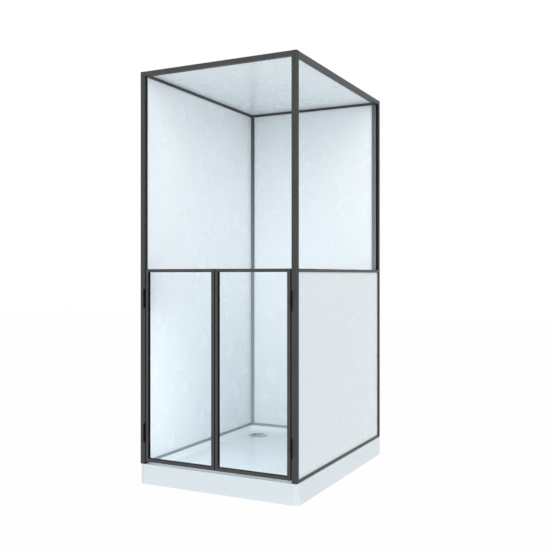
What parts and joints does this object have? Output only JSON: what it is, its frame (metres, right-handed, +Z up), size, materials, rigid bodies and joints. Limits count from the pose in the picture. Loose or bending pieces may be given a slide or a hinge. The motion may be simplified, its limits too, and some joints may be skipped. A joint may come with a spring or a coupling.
{
  "type": "shower enclosure",
  "caption": "Free-standing shower cubicle: white tray, anthracite frame, white panels, ceiling, open upper front and side, and half-height hinged glass doors.",
  "frame": {"origin": "on the floor, under the middle of the frame's outline", "axes": "+X to the right along the door side, +Y from the doors to the back wall, +Z up"},
  "size_m": [0.9, 1.1937, 2.1135],
  "materials": {
    "frame": "anthracite powder-coated aluminium, satin",
    "panel": "white gloss wall panel",
    "tray": "white gloss acrylic",
    "glass": "clear tempered glass, faint blue tint",
    "seal": "black rubber, matte",
    "hinge": "black painted metal, satin",
    "steel": "zinc-plated steel",
    "key": "die-cast alloy, raw",
    "chrome": "polished chrome",
    "board": "sealed particle board",
    "plastic": "black moulded plastic",
    "trap": "white moulded plastic"
  },
  "bodies": {
    "frame_and_tray": {"shower_tray": "tray", "tray_base_board": "board", "foot_plates": "steel", "foot_studs": "steel", "foot_lock_nuts": "steel", "foot_pads": "plastic", "waste_flange": "chrome", "waste_gasket": "seal", "trap_body": "trap", "trap_dip_cup": "trap", "front_left_post": "frame", "front_right_post": "frame", "back_left_post": "frame", "back_right_post": "frame", "side_channels": "frame", "left_top_rail": "frame", "right_top_rail": "frame", "front_top_rail": "frame", "back_top_rail": "frame", "left_bottom_rail": "frame", "back_bottom_rail": "frame", "right_bottom_rail": "frame", "right_mid_rail": "frame", "left_wall_panel": "panel", "back_wall_panel": "panel", "side_lower_panel": "panel", "side_panel_gasket": "seal", "ceiling_panel": "panel", "rail_connectors": "key", "frame_screws": "steel", "post_anchors": "key", "anchor_nuts": "steel", "post_caps": "plastic", "post_hinge_leaves": "hinge", "hinge_pins": "hinge", "post_hinge_screws": "hinge"},
    "left_door": {"left_door_hinge_stile": "frame", "left_door_meeting_stile": "frame", "left_door_top_rail": "frame", "left_door_bottom_rail": "frame", "left_door_glass": "glass", "left_door_glazing_gasket": "seal", "left_door_corner_keys": "key", "left_door_screws": "hinge", "left_door_hinge_leaves": "hinge", "left_door_hinge_seal": "seal", "left_door_magnet_seal": "seal"},
    "right_door": {"right_door_hinge_stile": "frame", "right_door_meeting_stile": "frame", "right_door_top_rail": "frame", "right_door_bottom_rail": "frame", "right_door_glass": "glass", "right_door_glazing_gasket": "seal", "right_door_corner_keys": "key", "right_door_screws": "hinge", "right_door_hinge_leaves": "hinge", "right_door_hinge_seal": "seal", "right_door_magnet_seal": "seal"},
    "drain_cover": {"drain_cover": "chrome"}
  },
  "joints": [
    {"name": "left_door_hinge", "type": "hinge", "parent": "frame_and_tray", "child": "left_door", "pos_m": [-0.417, -0.5955, 0.60725], "axis": [0, 0, -1], "range_deg": [0, 170]},
    {"name": "right_door_hinge", "type": "hinge", "parent": "frame_and_tray", "child": "right_door", "pos_m": [0.417, -0.5955, 0.60725], "axis": [0, 0, 1], "range_deg": [0, 170]},
    {"name": "drain_cover_lift", "type": "slide", "parent": "frame_and_tray", "child": "drain_cover", "axis": [0, 0, 1], "range_m": [0, 0.06]}
  ]
}
